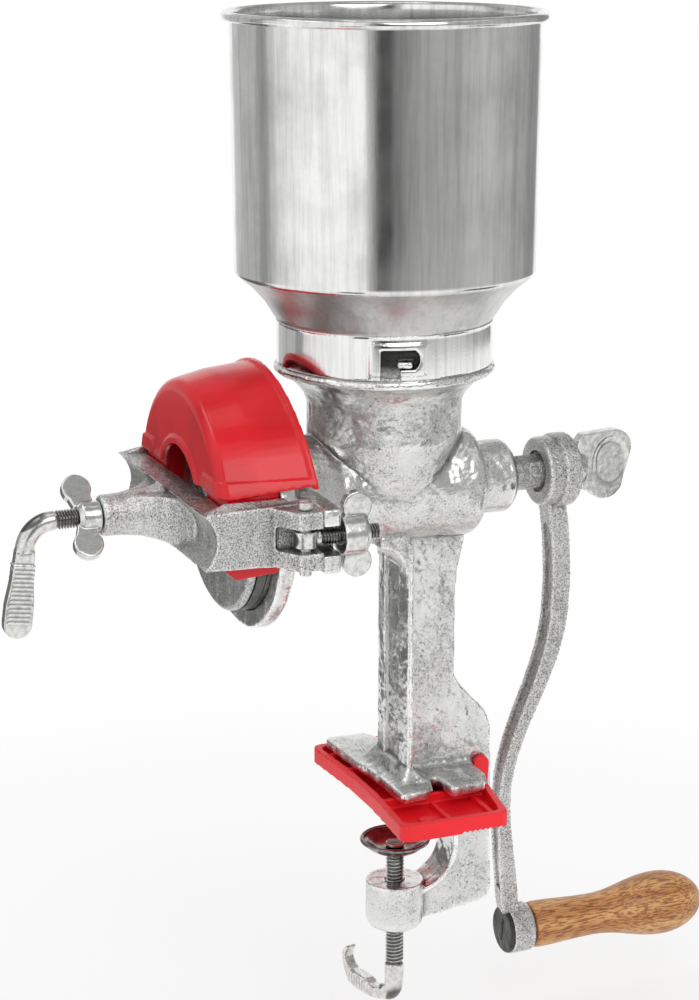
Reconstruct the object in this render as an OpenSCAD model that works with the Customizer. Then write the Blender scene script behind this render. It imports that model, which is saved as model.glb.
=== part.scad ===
// Hand-crank grinding mill that clamps to a table edge.
// Units: millimetres. X is the shaft axis, +X towards the crank; Z is up.
// The origin lies on the table top, under the feed hopper.

/* [What to draw] */
// Which piece to draw, or all of them

/* [Shaft and barrel] */
// Height of the shaft axis above the table
shaft_z = 146; // [120:1:180]
// Shaft diameter
shaft_d = 16; // [12:0.5:20]
// Bore of the feed barrel
barrel_bore_d = 40.6; // [34:0.2:44]
// Wall of the feed barrel
barrel_wall = 3.7; // [3:0.1:6]
// Diameter of the grinding head
head_d = 110; // [100:1:120]
// Diameter of the grinding burrs
burr_d = 93; // [80:1:95]

/* [Hopper] */
// Outer diameter of the hopper body
hopper_d = 132; // [110:1:136]
// Height of the hopper above the shaft
hopper_top = 206.5; // [180:0.5:230]
// Outer diameter of the collar that seats on the casting
collar_d = 94; // [88:1:98]
// Sheet metal thickness
sheet = 0.8; // [0.6:0.1:1.2]

/* [Yoke and adjustment] */
// Thickness of the yoke's arms
arm_t = 5.2; // [4:0.2:7]
// Diameter of the swing bolts
bolt_d = 7; // [6:0.5:8]
// Diameter of the adjusting screw
adjust_d = 8.3; // [7:0.1:10]

/* [Crank] */
// Distance from the shaft axis to the grip axis
crank_r = 246; // [230:1:255]
// Lean of the crank away from straight down, in degrees
crank_lean = 9; // [0:1:30]
// Width of the crank arm at its top
arm_w = 12; // [10:0.5:14]
// Length of the wooden grip
grip_l = 96; // [85:1:110]
// Largest diameter of the wooden grip
grip_d = 31.6; // [28:0.2:36]

/* [Table clamp] */
// Position of the clamp screw along the shaft
clamp_x = 6.5; // [4:0.5:10]
// Diameter of the clamp screw
clamp_d = 8.8; // [8:0.1:10]
// Diameter of the cup that bears under the table
cup_d = 32.4; // [28:0.2:36]
// Height of the cup rim below the table top, as drawn
cup_gap = 21; // [4:0.5:30]

/* [Fits] */
// Radial play of a shaft that turns in its bore
run_fit = 0.06; // [0.03:0.01:0.1]
// Gap between pieces that pass each other
gap = 0.3; // [0.2:0.05:0.5]

/* [Hidden] */
$fn = 96;
shaft_r = shaft_d / 2;
bore_r = barrel_bore_d / 2;
barrel_r = bore_r + barrel_wall;
head_r = head_d / 2;
burr_r = burr_d / 2;
collar_r = collar_d / 2;
hop_r = hopper_d / 2;
rim_z = shaft_z + hopper_top - 2;
seat_z = shaft_z + 57;
neck_r = 34;
// Stations along the shaft
head_front = -68.5;
head_back = -62.5;
wall_x = 36;
boss_end = 60;
burr_gap_x = head_front - 1.8;
burr_t = 4;
holder_x = burr_gap_x - burr_t;
shaft_front = -88;
ball_r = 4;
ball_x = shaft_front - 2.2;
tip_x = ball_x - ball_r - 0.1;
// Yoke
yoke_front = -104;
yoke_bar = 12;
yoke_in = yoke_front + yoke_bar;
arm_in = head_r - 0.7;
yoke_w = 2 * (arm_in + arm_t);
bolt_y = yoke_w / 2 + 6.5;
ear_x0 = -67.6;
ear_x1 = -57;
ear_y = bolt_y + 7;
ledge_z = 15.2;
pin_x = -62.5;
pin_r = 2.6;
bolt_r = bolt_d / 2;
lug_x1 = -48;
nose_x = -130;
adjust_r = adjust_d / 2;
// Crank
hub_x0 = 74.8;
hub_x1 = 91;
low_hub_x0 = 82.8;
low_hub_x1 = 94.6;
grip_x0 = low_hub_x1 + 1;
low_hub_r = 12.2;
// Clamp
clamp_r = clamp_d / 2;
cup_r = cup_d / 2;
rim_low = -cup_gap;
cup_low = rim_low - 6.5;
boss_top = -41.5;
boss_low = -64.5;
throat_x = 32;
throat_r = 19.5;
throat_z = -25.5;
foot_z = 7.5;
foot_t = 5;
web_t = 8;
lip_w = 19;

cast_c = "silver";
plate_c = "gainsboro";
zinc_c = "lightgray";
red_c = "crimson";
wood_c = "peru";
dark_c = "dimgray";

// ---- helpers ----

// Puts a piece drawn about the origin onto the shaft axis
module on_shaft() translate([0, 0, shaft_z]) children();

// Turns a profile of radius and station into a solid about the X axis
module about_x() rotate([0, 90, 0]) rotate_extrude() children();

// A rod along X between two stations
module rod_x(r, x0, x1)
    translate([x0, 0, 0])
        rotate([0, 90, 0])
            cylinder(r = r, h = x1 - x0);

// A plate in the XZ plane, centred on y = 0
module plate_xz(t)
    translate([0, t / 2, 0])
        rotate([90, 0, 0])
            linear_extrude(t)
                children();

// A box given by its two corners
module box(a, b) translate(a) cube(b - a);

// Points of an arc, for profiles
function arc(c, r, a0, a1, n = 12) =
    [for (i = [0:n]) [c[0] + r * cos(a0 + (a1 - a0) * i / n),
                      c[1] + r * sin(a0 + (a1 - a0) * i / n)]];

function ease(t) = (1 - cos(180 * t)) / 2;

// ---- casting ----

module neck_outer()
    rotate_extrude()
        polygon([[0, shaft_z - 6], [18, shaft_z - 6],
            [barrel_r, shaft_z], [neck_r, shaft_z + 25],
            [neck_r, shaft_z + 40], [neck_r + 1.6, shaft_z + 44],
            [neck_r + 6, shaft_z + 49], [46, shaft_z + 53],
            [collar_r + 1.2, shaft_z + 53.6],
            [collar_r + 1.2, seat_z - 0.8], [collar_r + 0.6, seat_z - 0.2],
            [collar_r - sheet - gap, seat_z - 0.2],
            [collar_r - sheet - gap, seat_z + 13.5], [0, seat_z + 13.5]]);

module neck_throat()
    rotate_extrude()
        polygon([[0, shaft_z], [17, shaft_z], [17, shaft_z + 4],
            [neck_r - 4.5, shaft_z + 25], [neck_r - 4.5, shaft_z + 40],
            [neck_r - 3, shaft_z + 44.5], [36, shaft_z + 49],
            [42, shaft_z + 53], [42, seat_z + 14], [0, seat_z + 14]]);

// Barrel, grinding head and rear bearing boss as one turned shape
module barrel_outer()
    on_shaft() about_x()
        polygon(concat([[0, head_front], [head_r - 0.6, head_front],
            [head_r, head_front + 0.6], [head_r, head_back],
            [head_r - 2, head_back + 1.6], [46, -58], [39, -54],
            [34, -50], [30, -45], [27, -38], [barrel_r, -28],
            [barrel_r, 22], [barrel_r + 0.8, 30]],
            arc([barrel_r - 4.2, wall_x], 5, 0, 80, 6),
            [[16.4, 41], [16.4, boss_end - 3], [13.2, boss_end],
            [0, boss_end]]));

module barrel_inside() {
    on_shaft() rod_x(bore_r, head_front - 1, wall_x);
    on_shaft() rod_x(shaft_r + run_fit, wall_x - 1, boss_end + 1);
    // Recess for the fixed burr
    on_shaft() rod_x(burr_r + 0.5, head_front - 1, head_front + 2);
}

// Open space inside the head, round the end of the barrel
module head_cavity()
    on_shaft() about_x()
        polygon([[bore_r + 3, head_front + 1], [44.5, head_front + 1],
            [44.5, -65], [41.5, -60], [35, -55.6], [29.5, -51],
            [bore_r + 3, -48]]);

module burr_posts(r, x0, x1)
    for (a = [90, 210, 330])
        on_shaft() rotate([a, 0, 0])
            translate([0, 35, 0]) rod_x(r, x0, x1);

// Slotted lugs that take the swing bolts, one on each side
module body_lug(s)
    difference() {
        union() {
            box([ear_x1, min(s * 30, s * ear_y), shaft_z - 14],
                [lug_x1, max(s * 30, s * ear_y), shaft_z + 12.8]);
            // Web that ties the lug to the rim of the head
            box([head_back - 1, min(s * 40, s * (head_r - 1.4)),
                    shaft_z - 14],
                [lug_x1, max(s * 40, s * (head_r - 1.4)),
                    shaft_z + 12.8]);
        }
        box([ear_x1 - 1, min(s * (bolt_y - 5), s * (ear_y + 1)),
                shaft_z - 6.6],
            [lug_x1 + 1, max(s * (bolt_y - 5), s * (ear_y + 1)),
                shaft_z + 5.4]);
        // The back is round about the pivot, so the nut swings off it
        difference() {
            box([pin_x, min(s * bolt_y, s * (ear_y + 1)), 0],
                [lug_x1 + 1, max(s * bolt_y, s * (ear_y + 1)), 300]);
            translate([pin_x, s * bolt_y, -1])
                cylinder(r = lug_x1 - pin_x, h = 302);
        }
    }

module column() {
    // Front flange with its long recess
    translate([0, 0, foot_z + 1])
        linear_extrude(shaft_z - 24 - foot_z)
            polygon([[5, -18], [4.3, -13], [4, -8], [5.6, -7.4],
                [5.6, 7.4], [4, 8], [4.3, 13], [5, 18], [7.4, 18],
                [9.5, 7], [9.5, -7], [7.4, -18]]);
    // Fillet from the flange to the underside of the barrel
    plate_xz(34)
        polygon(concat(arc([-8, shaft_z - 36], 12, 0, 90, 8),
            [[-8, shaft_z - 19], [6, shaft_z - 19]]));
    // Side plate that runs down into the clamp
    plate_xz(web_t)
        polygon(concat([[6, foot_z + 1], [6, shaft_z - 18],
            [39, shaft_z - 18], [38, shaft_z - 27],
            [35, shaft_z - 40], [33.7, shaft_z - 55]],
            arc([45.7, 58.5], 12, 180, 225, 4),
            arc([28.6, 24], 24, 50, 2, 6),
            [[53.2, -4], [53.7, -48]],
            arc([47.4, -52], 6.3, 0, -84, 5),
            [[20, -62], [clamp_x, boss_low + 4], [clamp_x, -46]],
            arc([clamp_x + 6, throat_z], throat_r + 1, -90, 0, 10),
            [[throat_x + 1, foot_z + 1]]));
    // Inner lip round the throat of the clamp
    plate_xz(lip_w)
        polygon(concat(
            [[throat_x, foot_z + 1], [throat_x, throat_z]],
            arc([throat_x - throat_r, throat_z], throat_r, 0, -90, 12),
            [[clamp_x, throat_z - throat_r],
             [clamp_x, throat_z - throat_r - 3]],
            arc([throat_x - throat_r, throat_z], throat_r + 3, -90, 0, 12),
            [[throat_x + 3, foot_z + 1]]));
}

module foot() {
    translate([0, 0, foot_z])
        linear_extrude(foot_t)
            polygon([[-3.6, -30], [-2, -31.4], [9, -30.2],
                [11.5, -28.4], [13.2, -21], [14.8, -13.5],
                [16.4, -9.2], [19.4, -9.2], [21, -15.5],
                [20.4, -30.6], [22, -31.8], [37.2, -29.6],
                [38.9, -28], [42, -10], [44.8, 8], [44.8, 44],
                [42, 50], [22, 50], [20, 44], [17.5, 34],
                [14.5, 44], [12.5, 50], [-7, 50], [-8.6, 48],
                [-6.5, 16.8], [-4, -4.6]]);
    // Swelling where the column stands on the foot
    intersection() {
        translate([-3, 0, 0])
            rotate([90, 0, 90])
                linear_extrude(46)
                    polygon([[-25, foot_z + 1], [-21, 13.6],
                        [-18.2, 18.5], [18.2, 18.5], [21, 13.6],
                        [25, foot_z + 1]]);
        plate_xz(80)
            polygon([[-1, 0], [0.5, 13.4], [3.8, 18.5], [8, 18.5],
                [12, 14], [16, 12.8], [42, 12.8], [42, 0]]);
    }
    // Fillet along the side plate
    translate([6, 0, 0])
        rotate([90, 0, 90])
            linear_extrude(36)
                polygon([[-8, foot_z + 1], [-7.4, 12.8], [-5, 13.8],
                    [-3.8, 16], [3.8, 16], [5, 13.8], [7.4, 12.8],
                    [8, foot_z + 1]]);
}

module clamp_boss()
    translate([clamp_x, 0, 0])
        rotate_extrude()
            polygon(concat([[0, boss_low], [8.5, boss_low]],
                arc([8.5, boss_low + 5], 5, -70, 0, 5),
                [[13.5, boss_top + 0.8], [12.7, boss_top],
                 [0, boss_top]]));

// Studs that lock the hopper collar
module collar_stud()
    rotate([0, 0, -11.9])
        translate([0, -(collar_r + 0.6), 0])
            box([-3.4, 0, seat_z + 5.6], [2.8, 4, seat_z + 8.2]);

module mill_body() color(cast_c) {
    difference() {
        union() {
            neck_outer();
            barrel_outer();
            column();
            foot();
            clamp_boss();
            body_lug(1);
            body_lug(-1);
        }
        neck_throat();
        barrel_inside();
        difference() {
            head_cavity();
            burr_posts(4.5, head_front, -56);
        }
        burr_posts(1.9, head_front - 1, -57);
        // Notch between the two fingers of the foot
        translate([0, 0, foot_z - 1])
            linear_extrude(16)
                polygon([[14.6, -34], [15.2, -19], [17.2, -16.6],
                    [19.4, -18], [20.8, -34]]);
        translate([clamp_x, 0, boss_low - 1])
            cylinder(r = clamp_r + run_fit, h = boss_top - boss_low + 2);
    }
    for (a = [0, 180])
        rotate([0, 0, a]) collar_stud();
}

// ---- hopper ----

bead_r = 2.1;
bead_c = hop_r + 1.2;

module hopper() color(plate_c)
    difference() {
        rotate_extrude()
            polygon(concat(
                [[hop_r - 0.2, rim_z]],
                [[hop_r - 1, shaft_z + 99]],
                arc([hop_r - 4, shaft_z + 98], 3, 0, -55, 5),
                [[58, shaft_z + 91], [52.5, shaft_z + 85],
                 [collar_r - sheet + 1.4, shaft_z + 78.2],
                 [collar_r - sheet - 0.04, seat_z + 19.6],
                 [collar_r - sheet - 0.04, seat_z + 14.5],
                 [collar_r - 2 * sheet, seat_z + 14.5],
                 [collar_r - 2 * sheet, seat_z + 19.9],
                 [52, shaft_z + 85.7], [57.4, shaft_z + 91.7]],
                [[hop_r - 4.6, shaft_z + 95.9],
                 [hop_r - 1.8, shaft_z + 98.6],
                 [hop_r - 0.2 - sheet, rim_z]]));
    }

// Rolled edge, closed round the wire
module hopper_bead() color(plate_c)
    rotate_extrude()
        difference() {
            translate([bead_c, rim_z]) circle(r = bead_r, $fn = 32);
            translate([bead_c, rim_z]) circle(r = bead_r - 0.7, $fn = 32);
            // Where the rolled edge meets the wall
            translate([bead_c, rim_z])
                rotate(-112)
                    translate([0, -0.25]) square([3, 0.5]);
        }

module rim_wire() color(zinc_c)
    rotate_extrude()
        translate([bead_c, rim_z]) circle(r = bead_r - 0.9, $fn = 24);

// Ring sector, used for the slots of the collar
module sector(r0, r1, a0, a1, z0, z1)
    translate([0, 0, z0])
        rotate([0, 0, a0 - 90])
            rotate_extrude(angle = a1 - a0)
                translate([r0, 0]) square([r1 - r0, z1 - z0]);

module hopper_collar() color(plate_c)
    difference() {
        union() {
            rotate_extrude()
                polygon([[collar_r - sheet, seat_z],
                    [collar_r, seat_z], [collar_r, seat_z + 18.8],
                    [collar_r + 0.5, seat_z + 19.3],
                    [collar_r - sheet, seat_z + 19.3]]);
            for (a = [0, 180])
                rotate([0, 0, a]) {
                    sector(collar_r - 0.2, collar_r + 0.8,
                        -30.5, -1.6, seat_z + 2.4, seat_z + 15.8);
                }
        }
        for (a = [0, 180])
            rotate([0, 0, a]) {
                sector(collar_r - 3, collar_r + 3,
                    -24.8, -14.8, seat_z - 1, seat_z + 13.2);
                // The long arm of the slot, with its end rounded in steps
                sector(collar_r - 3, collar_r + 3,
                    -24.8, -6.6, seat_z + 5, seat_z + 13.2);
                sector(collar_r - 3.01, collar_r + 3.01,
                    -20, -5.3, seat_z + 5.9, seat_z + 12.3);
                sector(collar_r - 3.02, collar_r + 3.02,
                    -20, -4.6, seat_z + 7.2, seat_z + 11);
            }
    }

// ---- feed screw and burrs ----

module flight()
    translate([-60, 0, 0])
        rotate([0, 90, 0])
            linear_extrude(93, twist = -1290, slices = 84, $fn = 20)
                polygon([[-2.4, 0], [-2.2, 7], [-1.5, bore_r - 1.6],
                    [0, bore_r - 1.2], [1.5, bore_r - 1.6],
                    [2.2, 7], [2.4, 0]]);

module auger() color(cast_c)
    difference() {
        on_shaft() union() {
            difference() {
                rod_x(shaft_r, shaft_front, hub_x1 - 3);
                // Flat that drives the crank
                rotate([crank_lean, 0, 0])
                    box([hub_x0 + 2, -20, shaft_r - 1.8],
                        [hub_x1, 20, shaft_r + 1]);
            }
            flight();
            rod_x(bore_r - 1, wall_x - 3, wall_x - 0.4);
        }
        // Seat of the thrust ball and tapped end
        on_shaft() translate([ball_x, 0, 0]) sphere(r = ball_r + 0.1);
        on_shaft() rod_x(3.05, hub_x1 - 22, hub_x1 + 1);
        on_shaft() translate([-83, 0, -20]) cylinder(r = 2.5, h = 40);
    }

// A grinding ring with radial grooves on one face
module burr_ring(x0, x1, face)
    difference() {
        about_x()
            polygon([[21, x0], [burr_r, x0], [burr_r, x1], [21, x1]]);
        for (a = [0:30:330])
            rotate([a, 0, 0])
                box([face - 0.9, 26, -1], [face + 0.9, burr_r - 2, 1]);
    }

module fixed_burr() color(dark_c)
    on_shaft() difference() {
        burr_ring(head_front - 1.5, head_front + 2, head_front - 1.5);
        translate([0, 0, -shaft_z])
            burr_posts(2.15, head_front - 3, head_front + 3);
        translate([0, 0, -shaft_z])
            burr_posts(4, head_front - 3, head_front - 0.08);
    }

module fixed_burr_screws() color(zinc_c) {
    burr_posts(1.8, head_front - 0.1, head_front + 11);
    burr_posts(3.8, head_front - 1.4, head_front - 0.1);
}

module rotating_burr() color(dark_c)
    on_shaft() difference() {
        burr_ring(holder_x, burr_gap_x, burr_gap_x);
        translate([0, 0, -shaft_z])
            burr_posts(2.15, holder_x - 1, holder_x + 6);
        translate([0, 0, -shaft_z])
            burr_posts(4, holder_x + 2.6, holder_x + 6);
    }

module burr_holder() color(cast_c)
    difference() {
        on_shaft() about_x()
            polygon([[shaft_r + 0.02, shaft_front + 1],
                [13, shaft_front + 1], [14, -82], [16, -79.6],
                [38, -78.6], [burr_r - 1.5, -78], [burr_r, -77],
                [burr_r, holder_x], [shaft_r + 0.02, holder_x]]);
        on_shaft() translate([-83, 0, -20]) cylinder(r = 2.5, h = 40);
        burr_posts(1.9, holder_x - 3, holder_x + 1);
    }

module holder_screws() color(zinc_c) {
    burr_posts(1.8, holder_x - 2.6, holder_x + 2.7);
    burr_posts(3.8, holder_x + 2.7, holder_x + 3.9);
}

module drive_pin() color(zinc_c)
    on_shaft() translate([-83, 0, -12.8]) cylinder(r = 2.45, h = 25.6);

module thrust_ball() color(zinc_c)
    on_shaft() translate([ball_x, 0, 0]) sphere(r = ball_r);

// ---- yoke and its screws ----

module yoke_arm(s) {
    y0 = s > 0 ? yoke_w / 2 - arm_t : -yoke_w / 2;
    translate([0, y0 + arm_t, 0])
        rotate([90, 0, 0])
            linear_extrude(arm_t)
                polygon([[yoke_front, -11.8], [yoke_front, 11.8],
                    [ear_x1, 13.6], [ear_x1, -13.6]]);
    // Ledge that rises under the edge of the cover
    intersection() {
        rotate([90, 0, 90])
            linear_extrude(300, center = true)
                polygon([[s * yoke_w / 2, 11.4], [s * yoke_w / 2, 11.8],
                    [s * (arm_in + 0.6), ledge_z],
                    [s * arm_in, ledge_z], [s * arm_in, 11.4]]);
        plate_xz(200)
            polygon([[yoke_front, 11.3], [yoke_in - 1, ledge_z],
                [ear_x0, ledge_z], [ear_x0 + 3, 11.3]]);
    }
    ear_in = bolt_y - 9;
    slot_in = bolt_y - 6.3;
    difference() {
        union() {
            box([ear_x0, min(s * ear_in, s * ear_y), -12.4],
                [ear_x1, max(s * ear_in, s * ear_y), 12.4]);
            // Slanting shoulder from the arm out to its ears
            translate([0, 0, -12.4])
                linear_extrude(24.8)
                    polygon([[ear_x0 - 7.5, s * (yoke_w / 2 - 1)],
                        [ear_x0 - 7.5, s * yoke_w / 2],
                        [ear_x0, s * (ear_y - 0.8)],
                        [ear_x0 + 1, s * (ear_y - 0.8)],
                        [ear_x0 + 1, s * (yoke_w / 2 - 1)]]);
        }
        box([ear_x0 - 6, min(s * slot_in, s * (ear_y + 1)), -5],
            [ear_x1 + 1, max(s * slot_in, s * (ear_y + 1)), 5]);
    }
}

module yoke() color(cast_c)
    on_shaft() difference() {
        union() {
            // Cross bar and arms with a hollowed front
            difference() {
                union() {
                    box([yoke_front, -yoke_w / 2, -11.8],
                        [yoke_in, yoke_w / 2, 11.8]);
                    yoke_arm(1);
                    yoke_arm(-1);
                }
                translate([yoke_front - 9.1, 0, 0])
                    rotate([90, 0, 0])
                        cylinder(r = 14.9, h = yoke_w + 2,
                            center = true);
            }
            // Nose that carries the adjusting screw
            about_x()
                polygon([[0, nose_x], [8.2, nose_x],
                    [8.9, nose_x + 0.8], [9.1, -119], [9.8, -110],
                    [11.4, yoke_front], [11.4, yoke_in],
                    [0, yoke_in]]);
            // Flare from the nose into the bar
            intersection() {
                about_x()
                    polygon([[0, -121], [9, -121], [11, -114],
                        [15, -108.4], [20, -104.4], [26, -101.6],
                        [34, -99.4], [34, yoke_in], [0, yoke_in]]);
                plate_xz(90)
                    polygon([[-122, -8.6], [-110, -9.4],
                        [yoke_front, -11], [yoke_in, -11],
                        [yoke_in, 9.4], [yoke_front, 9.2],
                        [-110, 8.8], [-122, 8.6]]);
            }
        }
        rod_x(adjust_r + run_fit, nose_x - 1, yoke_in + 2);
        // Clearance round the rim of the head
        rod_x(head_r + gap, head_front - gap, ear_x1 + 1);
        for (s = [-1, 1])
            translate([pin_x, s * bolt_y, -20])
                cylinder(r = pin_r, h = 40);
        // Room for the eyes of the swing bolts
        for (s = [-1, 1])
            translate([pin_x, s * bolt_y, -4.6])
                cylinder(r = 6.4, h = 9.2);
    }

module pivot_pin(s) color(zinc_c)
    translate([pin_x, s * bolt_y, shaft_z - 15.6]) {
        cylinder(r = pin_r - 0.02, h = 31);
        translate([0, 0, 28.2]) cylinder(r = 3.2, h = 3);
    }

module near_pivot_pin() pivot_pin(-1);
module far_pivot_pin() pivot_pin(1);

module swing_bolt(s) color(zinc_c)
    translate([pin_x, s * bolt_y, shaft_z])
        difference() {
            union() {
                translate([0, 0, -3.5]) cylinder(r = 5, h = 7);
                rod_x(bolt_r, 3.6, 32);
            }
            translate([0, 0, -10])
                cylinder(r = pin_r + run_fit, h = 20);
        }

module near_swing_bolt() swing_bolt(-1);
module far_swing_bolt() swing_bolt(1);

// Wing nut along X with its seat at x = 0 and wings up and down
module wing_nut(hole_r, hub_r, hub_l, reach, lean)
    difference() {
        union() {
            about_x()
                polygon([[0, 0], [hub_r, 0], [hub_r, hub_l - 2],
                    [hub_r - 1.6, hub_l], [0, hub_l]]);
            plate_xz(4.4)
                for (s = [-1, 1]) {
                    polygon([[0.8, 0], [lean - 5, s * (reach - 8)],
                        [lean + 5.4, s * (reach - 8)],
                        [hub_l - 0.6, 0]]);
                    translate([lean, s * (reach - 6.4)])
                        circle(r = 6.4);
                }
        }
        rod_x(hole_r, -1, hub_l + 1);
    }

module side_wing_nut(s) color(zinc_c)
    translate([lug_x1 + gap, s * bolt_y, shaft_z])
        wing_nut(bolt_r + run_fit, 8.4, 11.6, 18.2, 7.4);

module near_wing_nut() side_wing_nut(-1);
module far_wing_nut() side_wing_nut(1);

module lock_wing_nut() color(zinc_c)
    on_shaft() translate([nose_x - gap, 0, 0])
        mirror([1, 0, 0])
            rotate([-42, 0, 0])
                wing_nut(adjust_r + run_fit, 6.6, 9.6, 19.6, 7.4);

// Flattened, ribbed handle of a bent screw, hanging down from z = 0
module paddle(l, w0, w1, t) {
    plate_xz(t)
        polygon(concat([[w0 / 2, 0], [w0 / 2 + 0.4, -l * 0.28],
            [w1 / 2, -l * 0.62]],
            arc([0, -l + w1 / 2], w1 / 2, 0, -180, 14),
            [[-w1 / 2, -l * 0.62], [-w0 / 2 - 0.4, -l * 0.28],
             [-w0 / 2, 0]]));
    for (i = [0:13])
        box([-w1 * 0.4, -t / 2 - 0.4, -7.2 - i * (l - 12) / 14],
            [w1 * 0.4, t / 2 + 0.4, -6.2 - i * (l - 12) / 14]);
}

// Quarter bend of round bar from +X at the origin to -Z
module quarter_bend(r, bend)
    translate([0, 0, -bend])
        rotate([90, 0, 0])
            rotate_extrude(angle = 90)
                translate([bend, 0]) circle(r = r, $fn = 48);

module adjusting_screw() color(zinc_c)
    on_shaft() {
        rod_x(adjust_r, -150.3, tip_x);
        translate([-150.3, 0, 0])
            mirror([1, 0, 0])
                quarter_bend(adjust_r, 12.5);
        translate([-162.8, 0, -11.5])
            rotate([0, 8, 0])
                paddle(38.2, 8.2, 12.2, 5.2);
    }

// Direction of the clamp handle, seen from above
handle_turn = 9;
handle_drop = -101;

module clamp_screw() color(zinc_c)
    translate([clamp_x, 0, 0]) {
        translate([0, 0, handle_drop + 8])
            cylinder(r = clamp_r, h = cup_low - gap - handle_drop - 8);
        // Neck that is riveted over inside the cup
        translate([0, 0, cup_low - gap - 1])
            cylinder(r = 3, h = 5);
        translate([0, 0, cup_low + 2.6])
            cylinder(r = 4.4, h = 1.4);
        rotate([0, 0, handle_turn]) {
            translate([0, 8, handle_drop + 8])
                rotate([0, 90, 0])
                    rotate([0, 0, -90])
                        rotate_extrude(angle = 90)
                            translate([8, 0])
                                circle(r = clamp_r - 0.2, $fn = 48);
            handle_plate();
        }
    }

// Curved, ribbed finger plate of the clamp screw
module handle_plate() {
    t = 5.4;
    translate([-t / 2, 0, 0])
        rotate([90, 0, 90])
            linear_extrude(t)
                polygon([[4, -103], [9, -105.8], [14, -107.4],
                    [21, -108.6], [30.5, -109.4], [36.2, -108.6],
                    [40, -105.4], [42.9, -99.9], [43.4, -96.2],
                    [42, -93.2], [39.6, -90.9], [38.4, -91.8],
                    [40.2, -94.4], [40.6, -97.2], [39, -100],
                    [35, -101.4], [29, -101], [22, -100.6],
                    [18.5, -101.9], [14.4, -102.1], [10.5, -100.2],
                    [8, -97]]);
    for (i = [0:7])
        box([-t / 2 - 0.4, 20.4 + i * 2.3, -108],
            [t / 2 + 0.4, 21.4 + i * 2.3, -102.4]);
}

module clamp_cup() color(zinc_c)
    translate([clamp_x, 0, 0])
        rotate_extrude()
            polygon([[3.1, cup_low], [7.5, cup_low],
                [12.5, cup_low + 2.2], [cup_r, rim_low - 1.2],
                [cup_r, rim_low - 0.3], [cup_r - 0.6, rim_low],
                [cup_r - 1.4, rim_low - 0.4],
                [12, cup_low + 4.3], [6.8, cup_low + 2.3],
                [3.1, cup_low + 2.3]]);

// ---- cover ----

cover_back = -53.2;
cover_front = -94.8;
hood_z = 15.8;
hood_rise = 3.8;
notch_r = 27.6;
rear_lean = 0.11;

// Station of the cover's rear edge at a height above the shaft
function rear_x(z) = cover_back - rear_lean * (z - hood_z);
hood_back_r = head_r + 6;
hood_front_r = head_r + 0.5;
skirt_y = arm_in - 0.9;

// Space between two heights above the rising lower edge of the cover,
// in front of its slanting rear edge
module above_edge(h0, h1)
    plate_xz(200)
        polygon([[cover_front - 6, hood_z + h0],
            [cover_front + 4, hood_z + h0],
            [rear_x(hood_z + hood_rise + h0), hood_z + hood_rise + h0],
            [rear_x(hood_z + hood_rise + h1), hood_z + hood_rise + h1],
            [cover_front - 6, hood_z + hood_rise + h1]]);

// Hood: a half round shell that widens towards the back
module hood()
    intersection() {
        about_x()
            polygon(concat(
                [[hood_back_r, cover_back], [hood_back_r - 2.6, -78]],
                arc([hood_front_r - 4.8, cover_front + 5], 5, -6, -90, 6),
                [[notch_r, cover_front], [notch_r, cover_front + 2],
                 [hood_front_r - 5, cover_front + 2],
                 [hood_front_r - 1.8, cover_front + 5],
                 [hood_back_r - 4.4, -78],
                 [hood_back_r - 2, cover_back]]));
        above_edge(0, 90);
    }

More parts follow.
